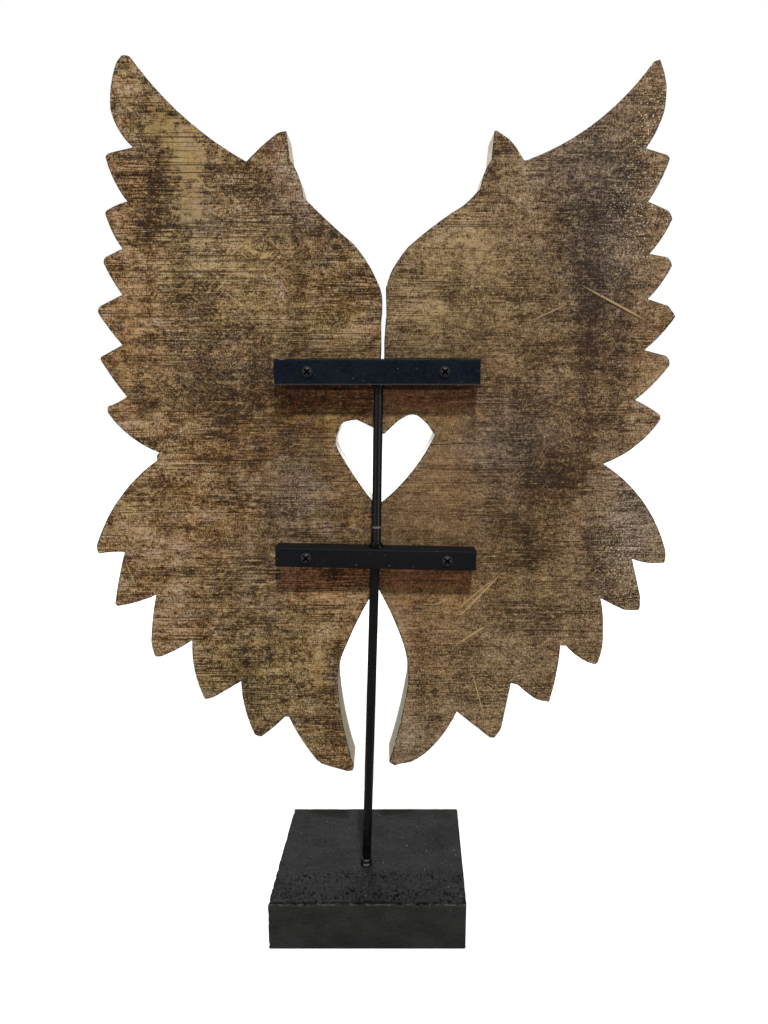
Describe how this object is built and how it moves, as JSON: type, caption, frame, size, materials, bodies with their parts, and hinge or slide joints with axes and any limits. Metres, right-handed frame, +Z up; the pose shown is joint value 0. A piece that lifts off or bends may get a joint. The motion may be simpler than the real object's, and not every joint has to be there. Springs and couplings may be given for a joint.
{
  "type": "carved wing ornament on stand",
  "caption": "Decorative ornament: a pair of carved wooden wings around a heart-shaped gap, screwed to black steel crossbars on a thin rod in a black wooden block.",
  "frame": {"origin": "middle of the wooden block's underside", "axes": "+Z up; the bars, screws and plain backs of the wings face -Y, the carved faces +Y; +X to the right seen from behind"},
  "size_m": [0.3665, 0.11, 0.542],
  "materials": {
    "black_painted_wood": "black painted solid wood, satin, with small pits",
    "zinc_steel": "zinc-plated steel",
    "black_gloss_steel": "gloss black paint on steel rod and weld",
    "black_painted_bar": "satin blue-black paint on steel tube",
    "black_screw_steel": "black phosphated steel",
    "sawn_brown_wood": "rough-sawn stained plank behind, carved and rubbed cream wash in front"
  },
  "bodies": {
    "root": {"base_block": "black_painted_wood", "foot_washer": "zinc_steel", "foot_nut": "zinc_steel", "foot_collar": "black_gloss_steel", "lower_rod": "black_gloss_steel", "upper_rod": "black_gloss_steel", "lower_weld": "black_gloss_steel", "middle_weld": "black_gloss_steel", "upper_weld": "black_gloss_steel", "lower_crossbar": "black_painted_bar", "upper_crossbar": "black_painted_bar", "wing_screws": "black_screw_steel", "left_wing": "sawn_brown_wood", "right_wing": "sawn_brown_wood"}
  },
  "joints": []
}
